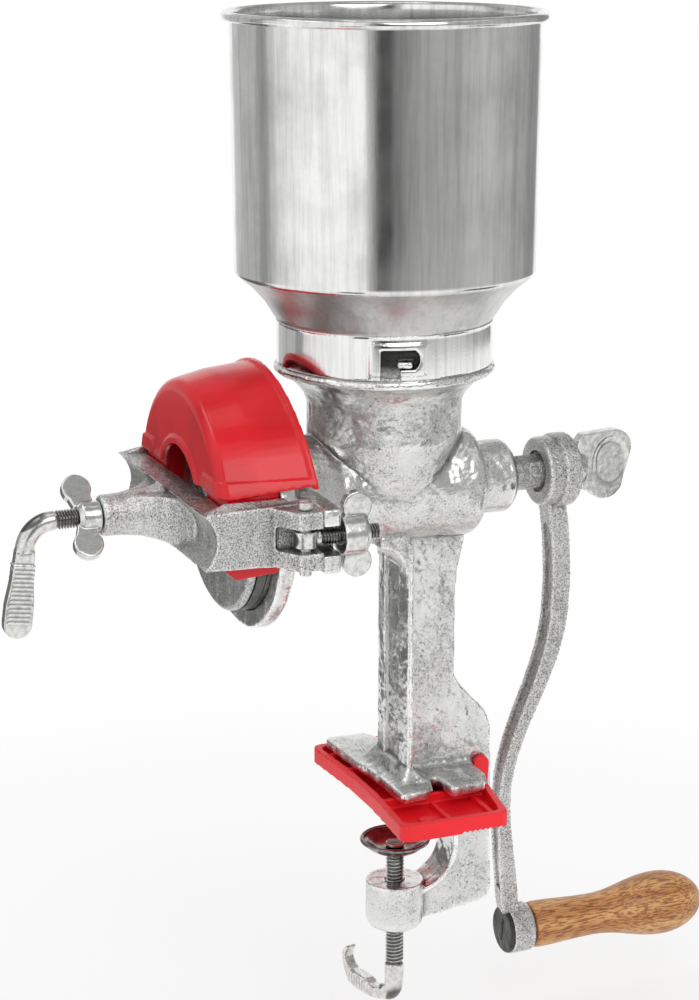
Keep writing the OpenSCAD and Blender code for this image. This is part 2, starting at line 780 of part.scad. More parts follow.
module cover() color(red_c)
    on_shaft() {
        hood();
        // Rear rim
        intersection() {
            about_x()
                polygon([[hood_back_r - 2.6, -66],
                    [hood_back_r, -66],
                    [hood_back_r + 0.9, cover_back],
                    [hood_back_r - 2, cover_back]]);
            plate_xz(200)
                polygon([[rear_x(18) - 2.4, 18],
                    [rear_x(18), 18], [rear_x(80), 80],
                    [rear_x(80) - 2.4, 80]]);
        }
        // Bead along the lower edge of the hood
        difference() {
            intersection() {
                about_x()
                    polygon([[40, cover_front - 0.9],
                        [hood_front_r - 3, cover_front - 0.9],
                        [hood_front_r + 1.4, cover_front + 3.4],
                        [hood_back_r + 1.2, cover_back],
                        [40, cover_back]]);
                above_edge(0, 2.8);
            }
            intersection() {
                about_x()
                    polygon([[30, cover_front + 1.9],
                        [hood_front_r - 3.4, cover_front + 1.9],
                        [hood_front_r - 1.9, cover_front + 5],
                        [hood_back_r - 2.3, cover_back + 1],
                        [30, cover_back + 1]]);
                box([-110, -80, 0], [-50, 80, 80]);
            }
            rod_x(notch_r, -110, -50);
        }
        // Notch lip over the yoke nose
        intersection() {
            difference() {
                rod_x(notch_r + 3, cover_front - 0.9, cover_front + 2);
                rod_x(notch_r, cover_front - 2, cover_front + 4);
            }
            above_edge(0, 60);
        }
        // Skirts that drop inside the yoke
        for (s = [-1, 1])
            difference() {
                union() {
                    box([yoke_in + gap, min(s * skirt_y, s * (skirt_y - 1.8)),
                            -19],
                        [head_front - 0.8,
                            max(s * skirt_y, s * (skirt_y - 1.8)),
                            hood_z + 7]);
                    box([yoke_in + gap, min(s * notch_r, s * skirt_y), -19],
                        [yoke_in + gap + 1.8,
                            max(s * notch_r, s * skirt_y), hood_z + 1.6]);
                }
                // Sloping lower edge
                rotate([90, 0, 0])
                    linear_extrude(200, center = true)
                        polygon([[-100, -30], [-60, -30], [-60, -16.4],
                            [-88, -18.6], [-92.2, -15], [-100, -10]]);
                // Upper end stays under the rising edge
                above_edge(1.6, 60);
            }
        // Shelf that joins skirt and hood
        difference() {
            intersection() {
                about_x()
                    polygon([[40, cover_front + 0.5],
                        [hood_front_r - 3, cover_front + 0.5],
                        [hood_front_r - 0.6, cover_front + 5],
                        [hood_back_r - 1, head_front - 0.8],
                        [40, head_front - 0.8]]);
                above_edge(0, 1.6);
            }
            box([yoke_in + gap + 1.8, -skirt_y + 1.8, 0],
                [-50, skirt_y - 1.8, 60]);
            rod_x(notch_r, -110, -50);
        }
    }

// ---- crank ----

// Inner face and thickness of the arm at radius r
function arm_x(r) =
    r < 74 ? 87 - 4 * pow((74 - r) / 44, 2) :
    r < 163 ? 87 - 16.9 * ease((r - 74) / 89) :
    r < 168 ? 70.1 : 70.1 + 6 * pow((r - 168) / 53, 1.5);
function arm_thick(r) =
    r < 60 ? 9.4 : r < 160 ? 9.4 - 3.2 * ease((r - 60) / 100) :
    6.2 + 3 * ease((r - 160) / 62);

arm_rs = [for (i = [0:30]) 8 + (crank_r - 18) * i / 30];

module arm_side(inset0, inset1)
    polygon(concat(
        [for (r = arm_rs) [arm_x(r) + inset0, -r]],
        [for (i = [len(arm_rs) - 1:-1:0])
            [arm_x(arm_rs[i]) + arm_thick(arm_rs[i]) + inset1,
             -arm_rs[i]]]));

// Side view of a cut of one depth along the inner face of the arm
module arm_recess(depth)
    polygon(concat(
        [for (r = arm_rs) [arm_x(r) - 8, -r]],
        [for (i = [len(arm_rs) - 1:-1:0])
            [arm_x(arm_rs[i]) + depth, -arm_rs[i]]]));

module crank_straight()
    difference() {
        union() {
            intersection() {
                plate_xz(20) arm_side(0, 0);
                // The arm narrows towards the grip
                rotate([90, 0, 90])
                    linear_extrude(200)
                        polygon([[-arm_w / 2, 0], [arm_w / 2, 0],
                            [4, -crank_r], [-4, -crank_r]]);
            }
            about_x()
                polygon([[0, hub_x0], [15, hub_x0], [15.7, hub_x0 + 0.7],
                    [15.7, 82], [16.8, 82.8], [16.8, hub_x1 - 1.4],
                    [15.4, hub_x1], [0, hub_x1]]);
            translate([0, 0, -crank_r])
                about_x()
                    polygon([[0, low_hub_x0],
                        [low_hub_r, low_hub_x0],
                        [low_hub_r, low_hub_x1 - 1],
                        [low_hub_r - 1, low_hub_x1], [0, low_hub_x1]]);
        }
        // Long recess on the inner face
        intersection() {
            plate_xz(arm_w - 3) arm_recess(1.5);
            rotate([90, 0, 90])
                linear_extrude(200)
                    polygon(concat(
                        arc([0, -31], 4.3, 0, 180, 8),
                        [[-2.7, -crank_r + 25], [2.7, -crank_r + 25]]));
        }
        // Bore with a flat for the shaft, opened at the inner side
        difference() {
            rod_x(shaft_r + 0.04, hub_x0 - 1, hub_x1 + 1);
            box([hub_x0 + 2.2, -20, shaft_r - 1.75],
                [hub_x1 + 2, 20, shaft_r + 2]);
        }
        rod_x(9.5, hub_x0 - 1, hub_x0 + 2);
        // Hole and seat of the grip bolt
        translate([0, 0, -crank_r]) {
            rod_x(3.6, low_hub_x0 - 1, low_hub_x1 + 1);
            rod_x(low_hub_r - 0.2, low_hub_x0 - 8, low_hub_x0);
        }
    }

// Leans a piece round the shaft as the crank is drawn
module leaned() on_shaft() rotate([crank_lean, 0, 0]) children();

module crank() color(cast_c) leaned() crank_straight();

module thumb_screw() color(zinc_c)
    on_shaft() {
        rod_x(3, hub_x1 - 20, hub_x1 + 2);
        about_x()
            polygon([[0, hub_x1 + 0.05], [9, hub_x1 + 0.05],
                [9.4, hub_x1 + 2.2], [7, hub_x1 + 4], [6, hub_x1 + 7],
                [0, hub_x1 + 8]]);
        plate_xz(5.6)
            polygon(concat([[hub_x1 + 3, 11.8], [hub_x1 + 6, 15.6]],
                arc([hub_x1 + 22.4, 7.8], 8.8, 96, -4, 10),
                arc([hub_x1 + 18, -6.4], 9.2, -6, -140, 10),
                [[hub_x1 + 6, -10]]));
    }

module grip_profile() {
    n = 24;
    waist = 0.36 * grip_l;
    swell = 0.75 * grip_l;
    rr = grip_d / 2;
    polygon(concat([[3.4, 0], [10.6, 0], [11.6, 1.4]],
        [for (i = [1:n]) let (t = i / n)
            [11.6 - 1.4 * ease(t), 1.4 + (waist - 1.4) * t]],
        [for (i = [1:n]) let (t = i / n)
            [10.2 + (rr - 10.2) * ease(t), waist + (swell - waist) * t]],
        [for (i = [1:n]) let (a = 90 * i / n)
            [rr * cos(a), swell + (grip_l - swell) * sin(a)]],
        [[0, grip_l - 8], [3.4, grip_l - 8]]));
}

module grip() color(wood_c)
    leaned() translate([grip_x0, 0, -crank_r])
        about_x() grip_profile();

module grip_bolt() color(dark_c)
    leaned() translate([0, 0, -crank_r]) {
        rod_x(3.3, low_hub_x0 - 0.2, grip_x0 + grip_l - 8.4);
        difference() {
            about_x()
                polygon([[0, low_hub_x0 - 1.7], [10.8, low_hub_x0 - 1.7],
                    [11.7, low_hub_x0 - 0.9], [11.7, low_hub_x0 - 0.05],
                    [0, low_hub_x0 - 0.05]]);
            box([low_hub_x0 - 3, -0.8, -6], [low_hub_x0 - 0.9, 0.8, 6]);
        }
    }

// ---- pad under the foot ----

module pad_outline(e)
    polygon([[-11.4 + e, -24], [-13.3 + e, -51 + e], [-12 + e, -53.6 + e],
        [-9.5 + e, -54.5 + e], [34.5 - e, -54.5 + e],
        [37.6 - e, -53 + e], [38.4 - e, -50 + e],
        [43.2 - e, -22], [46 - e, -8], [46 - e, 8],
        [43.2 - e, 22], [38.4 - e, 50 - e], [37.6 - e, 53 - e],
        [34.5 - e, 54.5 - e], [-9.5 + e, 54.5 - e],
        [-12 + e, 53.6 - e], [-13.3 + e, 51 - e], [-11.4 + e, 24],
        [-10.6 + e, 8], [-10.6 + e, -8]]);

module table_pad() color(red_c)
    difference() {
        union() {
            difference() {
                linear_extrude(foot_z) pad_outline(0);
                translate([0, 0, 2.6]) linear_extrude(8) pad_outline(3);
            }
            // Ribs that carry the foot
            intersection() {
                linear_extrude(foot_z) pad_outline(1);
                union() {
                    for (x = [2, 27.5])
                        box([x, -20, 1], [x + 3, 49, foot_z]);
                    for (x = [11.6, 32])
                        box([x, -53, 1], [x + 2.4, -26, 5.2]);
                    for (y = [-22, 20, 40])
                        box([-12, y, 1], [44, y + 2.4, foot_z - 0.4]);
                }
            }
            translate([3.4, -42, 1]) cylinder(r = 3.4, h = 3.6);
            // Clip beside the column
            box([28, -14, 0], [46, -web_t / 2 - gap, foot_z]);
            box([28, web_t / 2 + gap, 0], [46, 14, foot_z]);
            translate([0, -web_t / 2 - gap, 0])
                rotate([90, 0, 0])
                    linear_extrude(2.4) {
                        translate([46.8, 11.2]) circle(r = 3.9);
                        polygon([[43.3, 0], [50.2, 0], [50.7, 11.2],
                            [44.6, 14.4], [43.3, 11]]);
                    }
        }
        // Room for the back of the clamp frame
        box([throat_x - gap, -lip_w / 2 - gap, -1],
            [throat_x + 3 + gap, lip_w / 2 + gap, 20]);
        box([throat_x + 2, -web_t / 2 - gap, -1],
            [60, web_t / 2 + gap, 20]);
        // Serrated sole
        for (i = [0:7])
            translate([15.4 + i * 2.5, 0, 0])
                rotate([90, 0, 0])
                    linear_extrude(120, center = true)
                        polygon([[0, -0.1], [1.25, 1.3], [2.5, -0.1]]);
    }

// ---- drawing ----

mill_body();
union() { hopper(); hopper_bead(); }
hopper_collar();
rim_wire();
auger();
fixed_burr();
fixed_burr_screws();
rotating_burr();
burr_holder();
holder_screws();
drive_pin();
thrust_ball();
yoke();
adjusting_screw();
lock_wing_nut();
near_swing_bolt();
far_swing_bolt();
near_pivot_pin();
far_pivot_pin();
near_wing_nut();
far_wing_nut();
cover();
crank();
thumb_screw();
grip();
grip_bolt();
clamp_screw();
clamp_cup();
table_pad();
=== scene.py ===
"""Looks of the hand-crank grain mill: castings, sheet hopper, cover, pad, grip and hardware.

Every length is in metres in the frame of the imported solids; MM turns a size in millimetres to metres.
"""

import math

import bmesh
import bpy
from mathutils import Matrix, Vector, noise


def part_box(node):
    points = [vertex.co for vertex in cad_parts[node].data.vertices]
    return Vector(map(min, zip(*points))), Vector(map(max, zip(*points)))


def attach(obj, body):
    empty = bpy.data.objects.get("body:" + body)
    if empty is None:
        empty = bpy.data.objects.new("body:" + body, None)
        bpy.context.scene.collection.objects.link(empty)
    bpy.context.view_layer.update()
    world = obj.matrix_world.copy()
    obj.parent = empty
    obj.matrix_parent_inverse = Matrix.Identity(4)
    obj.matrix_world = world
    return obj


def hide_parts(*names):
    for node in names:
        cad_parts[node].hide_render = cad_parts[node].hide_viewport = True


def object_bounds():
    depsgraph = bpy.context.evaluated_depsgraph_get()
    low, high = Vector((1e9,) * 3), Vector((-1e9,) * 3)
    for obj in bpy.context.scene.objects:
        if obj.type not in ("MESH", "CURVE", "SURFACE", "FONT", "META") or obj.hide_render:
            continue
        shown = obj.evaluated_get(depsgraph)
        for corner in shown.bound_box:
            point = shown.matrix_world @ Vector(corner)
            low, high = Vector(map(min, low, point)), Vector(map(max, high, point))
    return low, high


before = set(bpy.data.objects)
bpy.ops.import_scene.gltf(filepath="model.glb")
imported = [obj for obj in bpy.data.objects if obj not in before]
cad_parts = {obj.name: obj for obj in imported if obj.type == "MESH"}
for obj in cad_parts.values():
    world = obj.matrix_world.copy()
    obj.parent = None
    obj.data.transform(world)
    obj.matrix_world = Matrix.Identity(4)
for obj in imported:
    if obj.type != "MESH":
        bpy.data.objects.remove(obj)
cad_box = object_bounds()

MM = 0.001
TURN = 2 * math.pi
X, Z = Vector((1, 0, 0)), Vector((0, 0, 1))
MERGE = 1e-6                                # corners closer than this become one

# Stations that several pieces share
SHAFT = Vector((0, 0, 146 * MM))            # centre of the shaft, above the table face
COLLAR_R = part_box("hopper_collar")[1].y - 0.8 * MM      # without the frames round its slots
SEAT_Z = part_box("hopper_collar")[0].z       # where the collar sits on the casting
WIRE_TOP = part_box("rim_wire")[1].z          # top of the wire in the hopper's rolled rim
CLAMP_X = 6.5 * MM                          # centre of the clamp screw


# ---------------------------------------------------------------- materials

def linear(hex_colour):
    """Linear RGBA of an sRGB hex colour such as "c8202b"."""
    def channel(pair):
        value = int(pair, 16) / 255
        return value / 12.92 if value <= 0.04045 else ((value + 0.055) / 1.055) ** 2.4
    return tuple(channel(hex_colour[i:i + 2]) for i in (0, 2, 4)) + (1.0,)


def socket(sockets, name):
    """A socket by its identifier, or by its name with underscores for spaces."""
    for one in sockets:
        if one.identifier == name:
            return one
    return sockets[name.replace("_", " ")]


def add(tree, kind, links=None, stops=(), **settings):
    """Adds a node with its properties (small letters), sockets (capitals), links and ramp stops.

    A stop is a place and an sRGB hex colour or a plain grey level."""
    made = tree.nodes.new("ShaderNode" + kind)
    for key, value in settings.items():
        if key[0].islower():
            setattr(made, key, value)
        else:
            socket(made.inputs, key).default_value = value
    for name, source in (links or {}).items():
        tree.links.new(source, socket(made.inputs, name))
    for count, (where, colour) in enumerate(stops):
        band = made.color_ramp.elements
        stop = band[count] if count < len(band) else band.new(where)
        stop.position = where
        stop.color = linear(colour) if isinstance(colour, str) else (colour,) * 3 + (1.0,)
    return made


MULTIPLY = {"data_type": "RGBA", "blend_type": "MULTIPLY"}
PAINTED_SHADE_GREY = linear("3a3a39")                    # dark grey, painted shade under the hopper's collar and on the hopper's cone


def surface(name, colour, metallic=0.0, roughness=0.5, **constants):
    """A named material with a Principled surface, its tree, its shader and Object coordinates."""
    made = bpy.data.materials.new(name)
    made.use_nodes = True
    tree = made.node_tree
    shader = tree.nodes["Principled BSDF"]
    for key, value in dict(constants, Base_Color=linear(colour), Metallic=metallic,
                           Roughness=roughness).items():
        socket(shader.inputs, key).default_value = value
    return made, tree, shader, add(tree, "TexCoord").outputs["Object"]


def per_metre(size_mm):
    """Texture scale that gives features of a size in millimetres."""
    return 1000.0 / size_mm


def tinned_casting(name, grain_mm, relief, specks, tone=("cacac9", "fdfdfc"), rough=(0.2, 0.33),
                   sandy=0.0, hollow=None):
    """Sand-cast grey iron dipped in tin: bright and rippled where the tin ran smooth, sandy where
    it lay thin, with dark specks at the pinholes, painted shade in the creases and painted highlights
    on edges.

    relief and specks from 0 to 1 say how rough and how speckled the thin places are; tone is the
    darkest and the brightest colour, and rough the roughness of smooth tin and of sand. sandy
    from 0 to 1 moves the balance from smooth tin to untinned sand grain. hollow is a height
    and a radius about Z: above the one and inside the other the colour is painted darker, as
    shade under the hopper's collar."""
    made, tree, shader, where = surface(name, tone[1], metallic=1.0)
    grain = add(tree, "TexNoise", {"Vector": where}, Scale=per_metre(grain_mm), Detail=2.0,
                Roughness=0.6).outputs["Fac"]
    ripple = add(tree, "TexNoise", {"Vector": where}, Scale=per_metre(9), Detail=2.0,
                 Roughness=0.5).outputs["Fac"]
    patch = add(tree, "TexNoise", {"Vector": where}, Scale=per_metre(24), Detail=5.0,
                Roughness=0.62).outputs["Fac"]
    thin = add(tree, "ValToRGB", {"Fac": patch},
               [(0.42 - 0.25 * sandy, 0.15 + 0.6 * sandy), (0.62 - 0.25 * sandy, 1.0)]).outputs["Color"]
    # Specks are the deepest dips of a fine noise, and lie where the tin is thin
    fine = add(tree, "TexNoise", {"Vector": where}, Scale=per_metre(1.1), Detail=2.0,
               Roughness=0.7).outputs["Fac"]
    dip = add(tree, "ValToRGB", {"Fac": fine}, [(0.345, specks), (0.385, 0.0)]).outputs["Color"]
    speck = add(tree, "Math", {"Value": dip, "Value_001": thin},
                operation="MULTIPLY").outputs["Value"]
    sand = add(tree, "Math", {"Value": grain, "Value_001": thin},
               operation="MULTIPLY").outputs["Value"]
    metal = add(tree, "ValToRGB", {"Fac": grain}, [(0.36, tone[0]), (0.56, tone[1])]).outputs["Color"]
    coat = add(tree, "Mix", {"Factor_Float": thin, "B_Color": metal}, data_type="RGBA",
               A_Color=linear(tone[1]))
    dark = add(tree, "Mix", {"Factor_Float": speck, "A_Color": socket(coat.outputs, "Result_Color")},
               data_type="RGBA", B_Color=linear("3e3e3d"))
    # Painted light from Pointiness: hollows and creases are darkened as painted shade, flats dimmed a
    # little, so convex edges stand brighter as painted highlights.
    bend = add(tree, "NewGeometry").outputs["Pointiness"]
    painted_crease_shade_and_edge_highlight = add(tree, "ValToRGB", {"Fac": bend},
               [(0.43, "404040"), (0.482, "bebebd"), (0.5, "e2e2e1"), (0.53, "ffffff")])
    with_painted_light = add(tree, "Mix", {"A_Color": socket(dark.outputs, "Result_Color"),
                             "B_Color": painted_crease_shade_and_edge_highlight.outputs["Color"]}, Factor_Float=1.0, **MULTIPLY)
    colour = socket(with_painted_light.outputs, "Result_Color")
    # Painted shade under the hopper's collar: above its seat and inside its radius the colour is mixed
    # towards the dark grey.
    if hollow:
        seat, reach = hollow
        height = add(tree, "SeparateXYZ", {"Vector": where}).outputs["Z"]
        flat = add(tree, "Mapping", {"Vector": where}, Scale=(1, 1, 0)).outputs["Vector"]
        off = add(tree, "VectorMath", {"Vector": flat}, operation="LENGTH").outputs["Value"]
        above = add(tree, "MapRange", {"Value": height}, From_Min=seat - 1 * MM,
                    From_Max=seat + 6 * MM).outputs["Result"]
        inside = add(tree, "Math", {"Value": off}, Value_001=reach,
                     operation="LESS_THAN").outputs["Value"]
        bare = add(tree, "Math", {"Value": above, "Value_001": inside},
                   operation="MULTIPLY").outputs["Value"]
        shaded = add(tree, "Mix", {"Factor_Float": bare, "A_Color": colour}, data_type="RGBA",
                     B_Color=PAINTED_SHADE_GREY)
        colour = socket(shaded.outputs, "Result_Color")
    tree.links.new(colour, shader.inputs["Base Color"])
    shine = add(tree, "ValToRGB", {"Fac": thin}, [(0.1, rough[0]), (0.9, rough[1])])
    tree.links.new(shine.outputs["Color"], shader.inputs["Roughness"])
    run = add(tree, "Bump", {"Height": ripple}, Strength=0.6, Distance=3 * MM)
    skin = add(tree, "Bump", {"Height": sand, "Normal": run.outputs["Normal"]},
               Strength=relief, Distance=0.5 * MM)
    holes = add(tree, "Bump", {"Height": speck, "Normal": skin.outputs["Normal"]}, invert=True,
                Strength=0.4, Distance=0.3 * MM)
    tree.links.new(holes.outputs["Normal"], shader.inputs["Normal"])
    return made


def tinned_sheet(name, streaks, rough=(0.1, 0.22), dull_and_shaded_below=None):
    """Bright tinplate: nearly mirror-like tin, drawn upwards so that faint streaks run up the wall.

    Below the height dull_and_shaded_below the drawing has left it duller, and the colour is greyed
    there as painted shade."""
    made, tree, shader, where = surface(name, "f2f2f1", metallic=1.0)
    drawn = add(tree, "Mapping", {"Vector": where}, Scale=(1, 1, 0.05)).outputs["Vector"]
    streak = add(tree, "TexNoise", {"Vector": drawn}, Scale=per_metre(2.6), Detail=4.0,
                 Roughness=0.65).outputs["Fac"]
    cloud = add(tree, "TexNoise", {"Vector": where}, Scale=per_metre(30), Detail=4.0,
                Roughness=0.6).outputs["Fac"]
    fine = add(tree, "TexNoise", {"Vector": where}, Scale=per_metre(0.9), Detail=2.0).outputs["Fac"]
    lines = add(tree, "ValToRGB", {"Fac": streak}, [(0.34, "e0e0df"), (0.56, "f4f4f3")])
    dull = add(tree, "ValToRGB", {"Fac": cloud}, [(0.34, "d2d2d1"), (0.6, "ffffff")])
    shaded = add(tree, "Mix", {"A_Color": lines.outputs["Color"], "B_Color": dull.outputs["Color"]},
                 Factor_Float=0.6 * streaks, **MULTIPLY)
    colour = socket(shaded.outputs, "Result_Color")
    shine = add(tree, "ValToRGB", {"Fac": cloud}, [(0.3, rough[1]), (0.7, rough[0])])
    gloss = shine.outputs["Color"]
    # Below that height the tin is rougher, and its colour is greyed as painted shade on the
    # downward-facing cone.
    if dull_and_shaded_below:
        height = add(tree, "SeparateXYZ", {"Vector": where}).outputs["Z"]
        dull_and_shaded = add(tree, "MapRange", {"Value": height}, From_Min=dull_and_shaded_below,
                     From_Max=dull_and_shaded_below - 2 * MM, To_Max=0.3).outputs["Result"]
        gloss = add(tree, "Math", {"Value": dull_and_shaded, "Value_001": gloss},
                    operation="MAXIMUM").outputs["Value"]
        shaded_below = add(tree, "Mix", {"Factor_Float": dull_and_shaded, "A_Color": colour}, data_type="RGBA",
                     B_Color=PAINTED_SHADE_GREY)
        colour = socket(shaded_below.outputs, "Result_Color")
    tree.links.new(colour, shader.inputs["Base Color"])
    tree.links.new(gloss, shader.inputs["Roughness"])
    drawn_skin = add(tree, "Bump", {"Height": streak}, Strength=0.12 * streaks, Distance=0.1 * MM)
    skin = add(tree, "Bump", {"Height": fine, "Normal": drawn_skin.outputs["Normal"]}, Strength=0.06,
               Distance=0.1 * MM)
    tree.links.new(skin.outputs["Normal"], shader.inputs["Normal"])
    return made


def zinc_plate(name, tone=("cacac8", "efefed"), rough=(0.27, 0.18), thread=None):
    """Zinc-plated cold-formed steel: light grey, half bright, with a faint crystalline mottle
    and painted shade in the hollows of ribs.

    thread is an axis, a point on it, a root radius and a crest radius: the thread is painted darker
    towards its root, as shade."""
    made, tree, shader, where = surface(name, tone[1], metallic=1.0)
    mottle = add(tree, "TexNoise", {"Vector": where}, Scale=per_metre(2.4), Detail=3.0).outputs["Fac"]
    plate = add(tree, "ValToRGB", {"Fac": mottle}, [(0.3, tone[0]), (0.6, tone[1])])
    # Painted shade from Pointiness: hollows and creases are darkened.
    bend = add(tree, "NewGeometry").outputs["Pointiness"]
    painted_rib_shade = add(tree, "ValToRGB", {"Fac": bend},
               [(0.42, "3c3c3b"), (0.48, "c8c8c7"), (0.5, "f4f4f3"), (0.55, "ffffff")])
    with_painted_light = add(tree, "Mix", {"A_Color": plate.outputs["Color"], "B_Color": painted_rib_shade.outputs["Color"]},
               Factor_Float=1.0, **MULTIPLY)
    colour = socket(with_painted_light.outputs, "Result_Color")
    # Painted shade in the thread: the nearer to the root radius, the darker the colour.
    if thread:
        axis, centre, root, crest = thread
        across = [1 - part for part in axis]
        spoke = add(tree, "Mapping", {"Vector": where}, Scale=across,
                    Location=[-c * a for c, a in zip(centre, across)]).outputs["Vector"]
        reach = add(tree, "VectorMath", {"Vector": spoke}, operation="LENGTH").outputs["Value"]
        depth = add(tree, "MapRange", {"Value": reach}, From_Min=root, From_Max=crest)
        painted_thread_shade = add(tree, "ValToRGB", {"Fac": depth.outputs["Result"]},
                    [(0.0, "7c7c7b"), (0.4, "bababa"), (0.75, "ffffff")])
        thread_shaded = add(tree, "Mix", {"A_Color": colour, "B_Color": painted_thread_shade.outputs["Color"]},
                     Factor_Float=1.0, **MULTIPLY)
        colour = socket(thread_shaded.outputs, "Result_Color")
    tree.links.new(colour, shader.inputs["Base Color"])
    shine = add(tree, "ValToRGB", {"Fac": mottle}, [(0.3, rough[0]), (0.7, rough[1])])
    tree.links.new(shine.outputs["Color"], shader.inputs["Roughness"])
    skin = add(tree, "Bump", {"Height": mottle}, Strength=0.2, Distance=0.5 * MM)
    tree.links.new(skin.outputs["Normal"], shader.inputs["Normal"])
    return made


def moulded_plastic(name, colour, shadow, roughness, grain):
    """Injection-moulded polypropylene: one colour through, with a slight shrink and flow marks
    between colour and shadow."""
    made, tree, shader, where = surface(name, colour, roughness=roughness, IOR=1.49)
    flow = add(tree, "TexNoise", {"Vector": where}, Scale=per_metre(22), Detail=2.0).outputs["Fac"]
    tint = add(tree, "ValToRGB", {"Fac": flow}, [(0.3, shadow), (0.6, colour)])
    tree.links.new(tint.outputs["Color"], shader.inputs["Base Color"])
    fine = add(tree, "TexNoise", {"Vector": where}, Scale=per_metre(0.8), Detail=2.0).outputs["Fac"]
    skin = add(tree, "Bump", {"Height": fine}, Strength=grain, Distance=0.1 * MM)
    tree.links.new(skin.outputs["Normal"], shader.inputs["Normal"])
    return made


def turned_oak(name):
    """Turned oak under a thin clear coat: warm tan, long dark open pores and soft growth rings."""
    made, tree, shader, where = surface(name, "c08a52", roughness=0.42, Coat_Weight=0.15,
                                        Coat_Roughness=0.3)
    along = add(tree, "Mapping", {"Vector": where}, Scale=(0.11, 1, 1),
                Rotation=(0.35, 0.03, 0.05)).outputs["Vector"]
    across = add(tree, "Mapping", {"Vector": where}, Scale=(0.12, 1, 1),
                 Rotation=(0.5, 0.06, 0.04)).outputs["Vector"]
    pore = add(tree, "TexNoise", {"Vector": along}, Scale=per_metre(0.75), Detail=3.0,
               Roughness=0.6).outputs["Fac"]
    ring = add(tree, "TexWave", {"Vector": across}, wave_type="BANDS", bands_direction="Z",
               Scale=per_metre(34), Distortion=3.5, Detail=2.0, Detail_Scale=1.2)
    flame = add(tree, "ValToRGB", {"Fac": ring.outputs["Fac"]},
                [(0.0, "b87f48"), (0.5, "c8935a"), (1.0, "d6a56c")])
    lines = add(tree, "ValToRGB", {"Fac": pore}, [(0.38, "7a4c26"), (0.46, "c89a68"), (0.54, "ffffff")])
    grain = add(tree, "Mix", {"A_Color": flame.outputs["Color"], "B_Color": lines.outputs["Color"]},
                Factor_Float=0.75, **MULTIPLY)
    tree.links.new(socket(grain.outputs, "Result_Color"), shader.inputs["Base Color"])
    open_pores = add(tree, "Bump", {"Height": pore}, Strength=0.3, Distance=0.2 * MM)
    tree.links.new(open_pores.outputs["Normal"], shader.inputs["Normal"])
    return made


CONE_TOP = 243.5 * MM                       # where the hopper's wall turns inwards

# Castings: grain in mm, relief, specks, tone, roughness and share of untinned sand
# The body's colour is painted darker under the hopper's collar, as shade.
BODY_CASTING = tinned_casting("tinned_iron_body", 0.9, 0.5, 0.9,
                              hollow=(SEAT_Z + 0.6 * MM, COLLAR_R - 0.3 * MM))
ARM_CASTING = tinned_casting("tinned_iron_arms", 0.7, 0.9, 0.7, ("9a9a99", "fcfcfb"),
                             (0.22, 0.35), 0.6)
DISC_CASTING = tinned_casting("tinned_iron_discs", 0.8, 0.8, 0.5, ("90908f", "dededd"),
                              (0.28, 0.42), 0.7)
BURR_IRON = tinned_casting("chilled_iron_burrs", 0.9, 0.6, 0.5, ("3c3c3b", "6e6e6c"), (0.4, 0.55))
BLACK_STEEL = tinned_casting("blackened_steel", 0.8, 0.6, 0.2, ("2a2a2a", "585857"), (0.3, 0.45))
# Sheet, plated steel, plastics and wood
# Its cone below CONE_TOP is greyed as painted shade.
HOPPER_SHEET = tinned_sheet("tinplate_hopper", 1.0, dull_and_shaded_below=CONE_TOP)
COLLAR_SHEET = tinned_sheet("tinplate_collar", 0.25, (0.08, 0.16))
ZINC = zinc_plate("zinc_plated_steel")
BRIGHT_ZINC = zinc_plate("bright_pressed_steel", ("6e6e6d", "9a9a99"), (0.16, 0.08))
COVER_RED = moulded_plastic("polypropylene_gloss_red", "d00e1c", "c00a16", 0.2, 0.04)
PAD_RED = moulded_plastic("polypropylene_satin_red", "ee1222", "e20e1c", 0.42, 0.12)
GRIP_OAK = turned_oak("turned_oak")


# ---------------------------------------------------------------- pieces

def place(name, data):
    """Puts a mesh, a lamp or a camera into the scene."""
    made = bpy.data.objects.new(name, data)
    bpy.context.scene.collection.objects.link(made)
    return made


def finish_piece(name, mesh, material, body, node):
    """Puts a finished mesh into the scene, on its body and in the place of its node."""
    piece = place(name, mesh)
    mesh.materials.clear()
    mesh.materials.append(material)
    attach(piece, body)
    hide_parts(node)


def to_mesh(name, bm):
    """A mesh from a bmesh, which is freed."""
    mesh = bpy.data.meshes.new(name)
    bm.to_mesh(mesh)
    bm.free()
    return mesh


def closed_mesh(name, bm):
    """A smooth mesh from a bmesh, with its doubles merged and its normals outwards."""
    bmesh.ops.remove_doubles(bm, verts=bm.verts, dist=MERGE)
    bmesh.ops.recalc_face_normals(bm, faces=bm.faces)
    shade(bm, True)
    return to_mesh(name, bm)


def shade(bm, smooth):
    """Sets all faces to smooth or flat shading."""
    for face in bm.faces:
        face.smooth = smooth


def crisp_edges(mesh, angle_deg=38):
    """Keeps edges sharper than an angle crisp in smooth shading."""
    bm = bmesh.new()
    bm.from_mesh(mesh)
    for edge in bm.edges:
        if len(edge.link_faces) == 2 and edge.calc_face_angle(0) > math.radians(angle_deg):
            edge.smooth = False
    bm.to_mesh(mesh)
    bm.free()
    return mesh


def modified(name, mesh, kind, **settings):
    """A mesh with one modifier applied to it."""
    carrier = place(name, mesh)
    change = carrier.modifiers.new(kind.lower(), kind)
    for key, value in settings.items():
        setattr(change, key, value)
    result = bpy.data.meshes.new_from_object(
        carrier.evaluated_get(bpy.context.evaluated_depsgraph_get()))
    bpy.data.objects.remove(carrier)
    return result


WAVE_SIZE = 8 * MM                          # from one swelling of a cast skin to the next
WAVE_SINK = 0.3                             # keeps the uneven skin inside its solid


